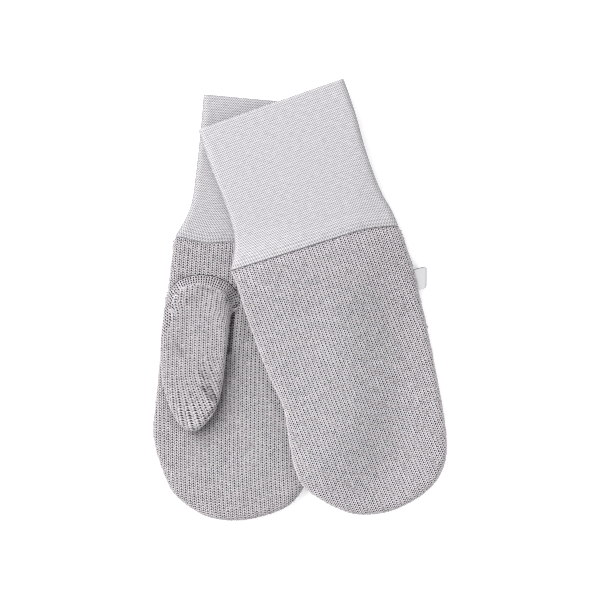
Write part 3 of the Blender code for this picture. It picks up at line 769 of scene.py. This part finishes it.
def thumbCloth(mitten, name, loop):
    # The cloth under the stitches: an outer and an inner surface, each a dome over an underside
    leftSide, rightSide = thumbSides(mitten["thumbShift"])
    fractions = np.linspace(0.0, 1.0, 97)
    fractions = (fractions + (1 - np.cos(fractions * math.pi)) / 2) / 2
    left, right = alongCurve(leftSide, fractions), alongCurve(rightSide, fractions)
    spine = spineBetween(left, right, *thumb["spine"])
    points, faces = [], []
    for inset in (thumb["ground"], thumb["wall"]):
        places = crossRows(left, right, spine, thumbRadius(spine[:, 1]), inset, 26)
        across, along = places[..., 0], places[..., 1]
        rise = roundedRise(depthInside(across, along, loop) - inset, thumbRadius(along) - inset)
        rows, columns = across.shape
        for dome in (True, False):
            world = thumbPlace(mitten, across, along, rise if dome else -rise, inset)
            outward = (dome == (inset == thumb["ground"])) == mitten["palmUp"]
            faces.append(gridFaces(rows, columns, len(points) * rows * columns, outward))
            points.append(world.reshape(-1, 3))
    return makeMesh(name, np.vstack(points), np.vstack(faces), groundShadeMaterial, merge=True)


def archLattice(shift):
    # Beside the arch the rows follow its seam, and the wales stand square to it
    rim = alongCurve(smoothCurve(thumb["archRim"]), np.linspace(0.0, 1.0, 401))
    rim[:, 0] += shift
    run = np.gradient(rim, axis=0)
    run /= np.linalg.norm(run, axis=1, keepdims=True)
    reach = reachOf(rim)
    top = reach[int(np.argmin(rim[:, 1]))]

    def lattice(u, v):
        # A place is v away from the rim, at u along it, leaning a little at its left end
        at = np.clip(top + u - 0.5 * v * smoothStep((-u - 12.0) / 10.0), 0.0, reach[-1])
        edge = [np.interp(at, reach, rim[:, k]) for k in (0, 1)]
        way = [np.interp(at, reach, run[:, k]) for k in (0, 1)]
        return edge[0] - way[1] * v, edge[1] + way[0] * v
    return lattice


def thumbPiece(mitten, node):
    # The thumb: its cloth, and the stitches of its three parts
    label = node.replace("_", "-")
    shift = mitten["thumbShift"]
    loop = thumbLoop(mitten)
    cloth = thumbCloth(mitten, label + "-ground", loop)

    def placeOf(across, along, rise):
        # World place of the thumb's surface
        return thumbPlace(mitten, across, along, rise, 0.0)

    def lying(across, along):
        # How flat the cloth lies: all of it at the arch, none past a smooth step up the thumb
        right = smoothStep((across - shift + 22.0) / 8.0)
        return 1 - smoothStep((along - 98.0 - 6.0 * right) / (9.0 - 3.0 * right))

    def lattice(u, v):
        # Wales run down the thumb and spread a little towards the arch, and rows bend round it
        # and at the tip they lean over to its right side
        start, middle = thumb["middle"]
        near = 1 - smoothStep((v + middle - 95.0) / 20.0)
        along = middle + v - u * 0.2 * (1 - near) + near * 2.6 * (u / 17.0) ** 2
        across = start + shift + u * (1 + 0.2 * near) + (along - middle) * 0.07
        past = np.maximum(v - 10.0 + 9.0 * smoothStep(u / 8.0), 0.0)
        across = across + 0.6 * past * past / (past + 9.0) * smoothStep((u + 16.0) / 16.0)
        return waved(across, thumb["waleWaves"], u, v), waved(along, thumb["rowWaves"], u, v)

    def bandWidth(across, along):
        # The band beside the arch runs out sooner on the right
        right = smoothStep((across - shift + 32.0) / 14.0)
        return (5.0 + 1.6 * right) * smoothStep((125.0 - 20.0 * right - along) / (8.0 - 4.0 * right))

    def gathered(across, along):
        # The right side of the tip, where the knit is drawn together
        left, low = thumb["gatherFrom"]
        across = across - shift
        return (along > low - (across + 14.0) * 0.35) & (across > left)

    def keepOf(part):
        # Which stitches of a part stand
        def keep(v, across, along, reach):
            # Inside the outline, or tucked under the edge where the cloth doesn't lie flat, and in
            # the part's own area
            inside = depthInside(across, along, loop)
            width = bandWidth(across, along)
            kept = inside > 0.2 - thumb["tucked"] * (1 - lying(across, along))
            kept &= reach > thumb["lowest"]
            if part == "arch-":
                inBand = (inside < width + 0.2) & (width > thumb["band"])
                return kept & inBand & (np.abs(v) < thumb["bandDepth"])
            kept &= (along > 125.0) | (width < thumb["band"]) | (inside > width - 0.3)
            return kept & (gathered(across, along) == (part == "tip-"))
        return keep

    def shade(across, along):
        # Painted shade in its folds as they are deep, and painted highlights along the lines given a
        # negative depth
        return thumb["foldShade"] * foldDepth(thumb["folds"], across - shift, along)

    table = clothTable(placeOf, loop, 9.0, thumbRadius, thumb["sideHeight"],
                       -1 if mitten["palmUp"] else 1, lowest=-1.0, lying=lying)
    yarns = []
    for part, yarn in thumb["yarn"].items():
        rows, shadeOf = (archLattice(shift), None) if part == "arch-" else (lattice, shade)
        yarns.append(stitches(label + "-" + part + "stitches", table, rows, dict(knit, **yarn),
                              keepOf(part), shade=shadeOf))
    declare([cloth] + yarns, node)
    return cloth


# Cuffs

cuffCloth = {
    "wall": 2.0, "height": 5.6, "crown": 0.4, "edgeRadius": 3.0,
    "ridgeRise": 0.7, "ridgeStart": 16.0, "ridgePeak": 4.0, "ridgeDip": 0.5,
    "wales": 262, "rowStep": 0.65, "stretch": 0.7, "stretchReach": 7.0,
    # Where the seam's edge inside shows: distance from the seam, lean, wave, depth, half width
    "trough": (9.0, 0.05, 0.8, 0.28, 1.6), "wander": 0.12,
    "outerRings": 84, "innerRings": 24, "waleRing": 40,
}


def cuffTop(mitten, across, beforeSeam):
    # A band with a soft ridge beside the seam, and a shallow line where the seam's edge inside
    # the cuff ends
    look = cuffCloth
    start, peak = look["ridgeStart"], look["ridgePeak"]
    ridge = look["ridgeRise"] * smoothStep((start - beforeSeam) / (start - peak))
    ridge = ridge - look["ridgeDip"] * smoothStep(1 - beforeSeam / peak)
    middle = mitten["cuff"][2]
    swell = crown(across, middle[1], middle[2], look["crown"])
    away, lean, wave, depth, width = look["trough"]
    line = away - across * lean + wave * np.sin(across / 13.0)
    trough = depth * np.exp(-((beforeSeam - line) / width) ** 2)
    wander = look["wander"] * np.sin(across / 10.0 + beforeSeam / 17.0) * np.sin(beforeSeam / 12.0 + 0.7)
    rest = smoothStep(beforeSeam / start)
    return look["height"] + ridge + swell * rest - trough + wander * rest


def cuffPiece(mitten, node):
    # Rings of the tube from the seam to the mouth, over the rim, and back to the seam inside
    look = cuffCloth
    lip = look["wall"] / 2
    outer = [(part, 0.0, 0.0) for part in np.linspace(1.0, 0.0, look["outerRings"])]
    rim = [(0.0, lip * (1 - math.cos(t)), lip * math.sin(t)) for t in np.radians(np.arange(15, 180, 15.0))]
    inner = [(part, look["wall"], 0.0) for part in np.linspace(0.0, 1.0, look["innerRings"])]
    rings, runs = [], []
    run = 0.0
    end = mitten["cuff"][-1][0]
    for part, inset, beyond in outer + rim + inner:
        left, right = [np.array([[cuffEdge(mitten, part * end, side), 0.0]]) for side in (1, 2)]
        across = crossRows(left, right, (left + right) / 2, look["edgeRadius"], inset, 40)[0, :, 0]
        left, right = left[0, 0], right[0, 0]
        inside = np.minimum(across - left, right - across)
        rise = roundedRise(inside - inset, look["edgeRadius"] - inset)
        spread = (2 * across - left - right) / (right - left)
        mouth = spread * mitten["mouthLean"] / 2 + lip
        seam = seamAlong(mitten, across) - 0.05
        station = mouth + (seam - mouth) * part
        top = cuffTop(mitten, across, np.maximum(seam - station, 0.0))
        flat = look["height"] / 2 + (top - look["height"]) * bodyCloth["sideShare"]
        upper = flat + (top - inset - flat) * rise
        lower = flat - (flat - inset) * rise
        ring = np.vstack((np.column_stack((across, station - beyond, upper)),
                          np.column_stack((across, station - beyond, lower))[-2:0:-1]))
        if rings:
            # The knit is stretched beside the seam, so a row there is longer
            middle = len(across) // 2
            step = float(np.abs(ring[middle, 1] - rings[-1][middle, 1])) or 0.1
            near = smoothStep(1 - (1 - part) * end / look["stretchReach"])
            run += step / (1 + look["stretch"] * near)
        rings.append(ring)
        runs.append(run)
    rings = np.array(rings)
    count, around = rings.shape[:2]
    middle = rings[look["waleRing"]]
    steps = np.linalg.norm(np.roll(middle, -1, axis=0) - middle, axis=1)
    wale = np.concatenate(([0.0], np.cumsum(steps))) / steps.sum() * look["wales"]
    numbers = np.arange(count * around).reshape(count, around)
    following = np.roll(numbers, -1, axis=0)
    faces = np.column_stack([part.ravel() for part in (
        numbers, np.roll(numbers, -1, axis=1), np.roll(following, -1, axis=1), following)])
    # Each corner knows its wale and its row, so that the knit follows the tube
    runs = np.array(runs + [runs[-1] + look["wall"]]) / look["rowStep"]
    knitMap = np.stack(np.meshgrid(wale, runs), axis=-1)
    uv = np.stack((knitMap[:-1, :-1], knitMap[:-1, 1:], knitMap[1:, 1:], knitMap[1:, :-1]), axis=2)
    # How far a place has turned down to the side, where the cuff has painted shade
    across = rings[..., 0]
    inside = np.minimum(across - across.min(1, keepdims=True), across.max(1, keepdims=True) - across)
    side = (1 - roundedRise(inside, look["edgeRadius"])) ** 2
    piece = makeMesh(node.replace("_", "-") + "-knit", placed(mitten, rings).reshape(-1, 3), faces,
                     cuffMaterials[mitten["side"]], uv=uv, values={"side": side})
    declare([piece], node)
    return piece


# Tab

tab = {
    "ply": 0.8, "foldGap": 0.6, "foldSteps": 16, "flatSteps": 8, "rows": 15,
    # edgeWidth is a narrow first row, as wide as the painted shadow at the top end
    "corner": 1.3, "edgeWidth": 0.42,
    # along, start and reach across, at its two ends
    "ends": ((96.9, 49.3, 56.0), (107.5, 49.35, 53.2)),
}


def tabPiece(mitten, node):
    # A strip of tape folded over: half a ring at its outer end and two flat plies, between an
    # outer and an inner surface, swept from one end to the other
    half = tab["foldGap"] / 2 + tab["ply"]
    turns = np.radians(np.linspace(90.0, -90.0, tab["foldSteps"] + 1))
    (along0, start0, reach0), (along1, start1, reach1) = tab["ends"]
    width, steps = along1 - along0, tab["flatSteps"]
    # Rows stand closer at both ends, where the corners are rounded, after a narrow first one
    share = (1 - np.cos(np.linspace(0.0, math.pi, tab["rows"]))) / 2
    share = np.sort(np.append(share, tab["edgeWidth"] / width))
    pulled = tab["corner"] * (1 - roundedRise(np.minimum(share, 1 - share) * width, tab["corner"]))
    shells = []
    for thick in (half, tab["foldGap"] / 2):
        fold = thick * np.cos(turns) - half
        start = start0 + (start1 - start0) * share[:, None]
        reach = reach0 + (reach1 - reach0) * share[:, None] - pulled[:, None]
        flat = start + (reach - half - start) * np.linspace(0.0, 0.9, steps)[None]
        across = np.hstack((flat, reach + fold[None], flat[:, ::-1]))
        up = np.concatenate((np.full(steps, thick), thick * np.sin(turns), np.full(steps, -thick)))
        along = np.broadcast_to((along0 + width * share)[:, None], across.shape)
        shells.append(np.stack((across, along, np.broadcast_to(up, across.shape)), axis=-1))
    points = np.array(shells)
    points[..., 2] += bodyTop(mitten, np.array([start0]), np.array([along0]))[0] / 2
    # The first rows carry painted shadow: a dark line along the top end, where the gap between the plies
    # lies in shade
    edge = np.broadcast_to((share * width < tab["edgeWidth"] * 0.9)[None, :, None], points.shape[:3])
    piece = makeMesh(node.replace("_", "-") + "-tape", placed(mitten, points).reshape(-1, 3),
                     wallFaces(*points.shape[1:3], closed=True), tapeMaterial,
                     values={"edge": edge.astype(float)})
    declare([piece], node)
    return piece


# Materials

def linearColour(red, green, blue):
    # Screen colours from 0 to 255 as linear values
    return tuple(v / 12.92 if v <= 0.04045 else ((v + 0.055) / 1.055) ** 2.4
                 for v in (red / 255, green / 255, blue / 255)) + (1.0,)


def newGroup(name, inputs, outputs):
    # A node group with its named inputs (and their first values) and outputs
    group = bpy.data.node_groups.new(name, "ShaderNodeTree")
    for label, kind, value in inputs:
        socket = group.interface.new_socket(name=label, in_out="INPUT", socket_type=kind)
        if value is not None:
            socket.default_value = value
    for label, kind in outputs:
        group.interface.new_socket(name=label, in_out="OUTPUT", socket_type=kind)
    return group, group.nodes.new("NodeGroupInput"), group.nodes.new("NodeGroupOutput")


def feed(tree, node, inputs):
    # An input takes a link where it is given a socket, and otherwise a value of its own
    for label, value in inputs.items():
        if hasattr(value, "is_linked"):
            tree.links.new(value, node.inputs[label])
        else:
            node.inputs[label].default_value = value
    return node


def addNode(tree, kind, inputs=None, **settings):
    # A new node with its settings and its inputs
    node = tree.nodes.new("ShaderNode" + kind)
    for label, value in settings.items():
        setattr(node, label, value)
    return feed(tree, node, inputs or {})


def addMath(tree, operation, *values):
    # The result of one math node
    return addNode(tree, "Math", dict(enumerate(values)), operation=operation).outputs[0]


def addShare(tree, value):
    # A value held between 0 and 1
    return addMath(tree, "MINIMUM", addMath(tree, "MAXIMUM", value, 0.0), 1.0)


def addMix(tree, factor, first, second):
    # The first colour at a factor of 0, the second at 1
    return addNode(tree, "Mix", {0: factor, 6: first, 7: second}, data_type="RGBA").outputs[2]


def addAttribute(tree, name):
    # A number that the mesh carries
    return addNode(tree, "Attribute", attribute_name=name).outputs["Fac"]


def heatherGroup():
    # Mottled wool: broad patches and fine fibres lighten and darken a colour, and the fibres
    # give a height for bump
    group, start, end = newGroup(
        "heatherWool",
        [("Color", "NodeSocketColor", (0.5, 0.5, 0.5, 1)), ("Dark", "NodeSocketColor", (0.3, 0.3, 0.3, 1)),
         ("Patch Size", "NodeSocketFloat", 120.0), ("Fibre Size", "NodeSocketFloat", 2600.0),
         ("Amount", "NodeSocketFloat", 0.5)],
        [("Color", "NodeSocketColor"), ("Height", "NodeSocketFloat")])
    given = start.outputs
    where = addNode(group, "TexCoord").outputs["Object"]
    patch, fibre = [
        addNode(group, "TexNoise", {"Vector": where, "Scale": given[size], "Detail": detail}).outputs["Fac"]
        for size, detail in (("Patch Size", 2.0), ("Fibre Size", 4.0))]
    both = addMath(group, "MULTIPLY_ADD", patch, 0.15, addMath(group, "MULTIPLY", fibre, 0.85))
    spread = addMath(group, "MULTIPLY_ADD", both, 3.2, -1.1)
    share = addMath(group, "MULTIPLY", addMath(group, "SUBTRACT", 1.0, spread), given["Amount"])
    colour = addMix(group, addShare(group, share), given["Color"], given["Dark"])
    feed(group, end, {"Color": colour, "Height": fibre})
    return group


def fineKnitGroup():
    # Small stitches from a map in wales and rows: the product of a sine across the wales and one
    # along them stands up and sinks in turn, like a draughts board. Part of the second sine is
    # added so that the rows show, and a noise breaks it up
    group, start, end = newGroup(
        "fineKnit", [("Wales", "NodeSocketVector", None), ("Uneven", "NodeSocketFloat", 0.5)],
        [("Height", "NodeSocketFloat"), ("Share", "NodeSocketFloat")])
    given = start.outputs
    parts = addNode(group, "SeparateXYZ", {0: given["Wales"]}).outputs
    across, along = [addMath(group, "SINE", addMath(group, "MULTIPLY", parts[k], math.pi)) for k in (0, 1)]
    # The noise is longer along a row than across it
    longer = addNode(group, "VectorMath", {0: given["Wales"], 1: (0.3, 1.0, 1.0)}, operation="MULTIPLY")
    rough = addNode(group, "TexNoise", {"Vector": longer.outputs[0], "Scale": 0.7, "Detail": 3.0})
    drift = addMath(group, "SUBTRACT", rough.outputs["Fac"], 0.5)
    drift = addMath(group, "MULTIPLY", drift, given["Uneven"])
    board = addMath(group, "MULTIPLY_ADD", along, 0.3, addMath(group, "MULTIPLY", across, along))
    height = addMath(group, "MULTIPLY_ADD", drift, 5.0, board)
    # The lower a place sinks, the larger its share of painted shade
    share = addShare(group, addMath(group, "MULTIPLY_ADD", height, -0.5, 0.5))
    feed(group, end, {"Height": height, "Share": share})
    return group


def clothMaterial(name, look, pattern):
    # Heather wool, and on it a pattern that gives the colour and the height of the bump
    made = bpy.data.materials.new(name)
    made.use_nodes = True
    tree = made.node_tree
    given = dict(look["wool"], Color=linearColour(*look["colour"]), Dark=linearColour(*look["dark"]))
    wool = addNode(tree, "Group", given, node_tree=heather)
    colour, height = pattern(tree, wool.outputs, look)
    strength, distance = look["bump"]
    bump = addNode(tree, "Bump", {"Strength": strength, "Distance": distance * mm, "Height": height})
    feed(tree, tree.nodes["Principled BSDF"], {
        "Base Color": colour, "Roughness": look["roughness"], "Specular IOR Level": 0.25,
        "Sheen Weight": look["sheen"], "Sheen Roughness": 0.6, "Normal": bump.outputs[0]})
    return made


# Each finish: colours from 0 to 255, the wool's own inputs, and the bump's strength and distance
yarnLook = {
    # deep is the colour that painted shade, and a darker tone, move the yarn towards
    "colour": (207, 202, 206), "dark": (174, 170, 174), "deep": (65, 62, 66), "roughness": 0.95,
    "sheen": 0.15, "wool": {"Fibre Size": 2400.0, "Amount": 0.35}, "bump": (0.5, 0.15),
    "sink": -0.52, "tint": 0.07,        # how far the painted light and shade, and the tone, move its colour
}


def yarnPattern(tree, wool, look):
    # A stitch is a little lighter or darker than its neighbours, and carries painted light and shade: sunk
    # is the painted shade from how lit each corner is, and the tone adds the painted shade of seams, folds
    # and the thumb
    sunk = addMath(tree, "MULTIPLY_ADD", addAttribute(tree, "lit"), look["sink"], 0.5)
    share = addShare(tree, addMath(tree, "MULTIPLY_ADD", addAttribute(tree, "tint"), look["tint"], sunk))
    return addMix(tree, share, wool["Color"], linearColour(*look["deep"])), wool["Height"]


# The ground's dark colour is painted shade, seen in the gaps between the stitches
groundShadeLook = {
    "colour": (58, 55, 60), "dark": (44, 42, 46), "roughness": 0.97, "sheen": 0.0,
    "wool": {}, "bump": (1.0, 0.3),
}


def groundPattern(tree, wool, look):
    # The cloth between the stitches is the wool alone, dark as painted shade in the gaps between them
    return wool["Color"], wool["Height"]


cuffLook = {
    "roughness": 0.93, "sheen": 0.02, "bump": (0.6, 0.12), "uneven": 0.25, "sideShade": 0.8,
    "wool": {"Fibre Size": 3200.0, "Patch Size": 160.0, "Amount": 0.2},
}
# The right cuff is the same yarn as the left, made darker as painted shade; the hole colours are painted
# shade in the knit's holes
cuffColoursAndShade = {
    "left": {"colour": (201, 199, 202), "dark": (185, 182, 186), "hole": (128, 126, 130)},
    "right": {"colour": (194, 192, 195), "dark": (178, 175, 179), "hole": (115, 113, 117)},
}


def cuffPattern(tree, wool, look):
    # The fine knit, with painted shade in its holes and on the rounded sides
    rows = addNode(tree, "UVMap", uv_map="knit").outputs[0]
    loops = addNode(tree, "Group", {"Wales": rows, "Uneven": look["uneven"]}, node_tree=fineKnit).outputs
    share = addMath(tree, "MULTIPLY_ADD", addAttribute(tree, "side"), look["sideShade"], loops["Share"])
    share = addMath(tree, "MINIMUM", share, 1.0)
    height = addMath(tree, "MULTIPLY_ADD", wool["Height"], 0.25, loops["Height"])
    return addMix(tree, share, wool["Color"], linearColour(*look["hole"])), height


tapeLook = {
    # edge is the colour of the painted shadow between the plies at the top end
    "colour": (190, 190, 191), "dark": (176, 176, 178), "edge": (48, 48, 52), "roughness": 0.7,
    "sheen": 0.1, "wool": {}, "bump": (0.4, 0.06), "weave": 4200.0,
}


def tapePattern(tree, wool, look):
    # A fine plain weave, and the painted shadow along the tape's top end
    where = addNode(tree, "TexCoord").outputs["Object"]
    weave = addNode(tree, "TexChecker", {"Vector": where, "Scale": look["weave"]}).outputs["Fac"]
    share = addMath(tree, "MINIMUM", addAttribute(tree, "edge"), 1.0)
    return addMix(tree, share, wool["Color"], linearColour(*look["edge"])), weave


heather = heatherGroup()
fineKnit = fineKnitGroup()
yarnMaterial = clothMaterial("greyYarn", yarnLook, yarnPattern)
groundShadeMaterial = clothMaterial("greyGround", groundShadeLook, groundPattern)
tapeMaterial = clothMaterial("whiteTape", tapeLook, tapePattern)
cuffMaterials = {side: clothMaterial(side + "FineKnit", dict(cuffLook, **colours), cuffPattern)
                 for side, colours in cuffColoursAndShade.items()}
print("materials made")


# Making the pair

coverTable, roomTable = underTables()
for mitten in (rightMitten, leftMitten):
    side = mitten["side"]
    cuffPiece(mitten, side + "_cuff")
    bodyPanel(mitten, mitten["palmUp"], side + "_palm")
    bodyPanel(mitten, not mitten["palmUp"], side + "_back")
    thumbPiece(mitten, side + "_thumb")
    print(side, "mitten made")
tabPiece(leftMitten, "left_tab")


# Floor, light and camera

studio = {
    "camera": (0.0, 0.0, 1.5), "lens": 180.0,
    "floor": (250, 250, 251), "glow": 0.25, "world": 0.75,
    "floorReach": 2000.0, "floorHeight": -0.05,
    # place, size, power
    "lights": {"key": ((-0.8, 0.4, 0.8), 0.9, 20.0), "fill": ((0.5, -0.4, 0.9), 0.9, 3.0)},
}


def addToScene(name, data, place):
    # An object for a light or a camera, at its place
    made = bpy.data.objects.new(name, data)
    made.location = place
    bpy.context.scene.collection.objects.link(made)
    return made


def buildStudio():
    # The camera looks straight down at a pale floor, in even light from all round and two lamps
    scene = bpy.context.scene
    camera = bpy.data.cameras.new("topCamera")
    camera.lens, camera.sensor_width = studio["lens"], 36.0
    camera.clip_end = 10.0
    scene.camera = addToScene("topCamera", camera, studio["camera"])
    # A table lit from inside, as for cut-out product photographs
    paleFloor = bpy.data.materials.new("paleFloor")
    paleFloor.use_nodes = True
    feed(paleFloor.node_tree, paleFloor.node_tree.nodes["Principled BSDF"], {
        "Base Color": linearColour(*studio["floor"]), "Roughness": 0.9, "Specular IOR Level": 0.1,
        "Emission Color": (1.0, 1.0, 1.0, 1.0), "Emission Strength": studio["glow"]})
    corners = np.array([(x * studio["floorReach"], y * studio["floorReach"], studio["floorHeight"])
                        for x, y in ((-1, -1), (1, -1), (1, 1), (-1, 1))])
    makeMesh("floor", corners, np.array([[0, 1, 2, 3]]), paleFloor, smooth=False)
    world = bpy.data.worlds.new("softStudio")
    world.use_nodes = True
    feed(world.node_tree, world.node_tree.nodes["Background"],
         {"Color": (1.0, 1.0, 1.0, 1.0), "Strength": studio["world"]})
    scene.world = world
    for name, (place, size, power) in studio["lights"].items():
        light = bpy.data.lights.new(name, "AREA")
        light.size, light.energy = size, power
        # A light looks down its own -Z, so its Z axis points from the mittens to it
        x, y, z = place
        lamp = addToScene(name, light, place)
        lamp.rotation_euler = (math.atan2(math.hypot(x, y), z), 0.0, math.atan2(y, x) + math.pi / 2)
    scene.view_settings.view_transform = "Standard"
    # The knit is as fine as the render's pixels, so its denoiser keeps to the unsmoothed colours
    scene.cycles.denoising_prefilter = "NONE"
    scene.cycles.filter_width = 1.0


buildStudio()
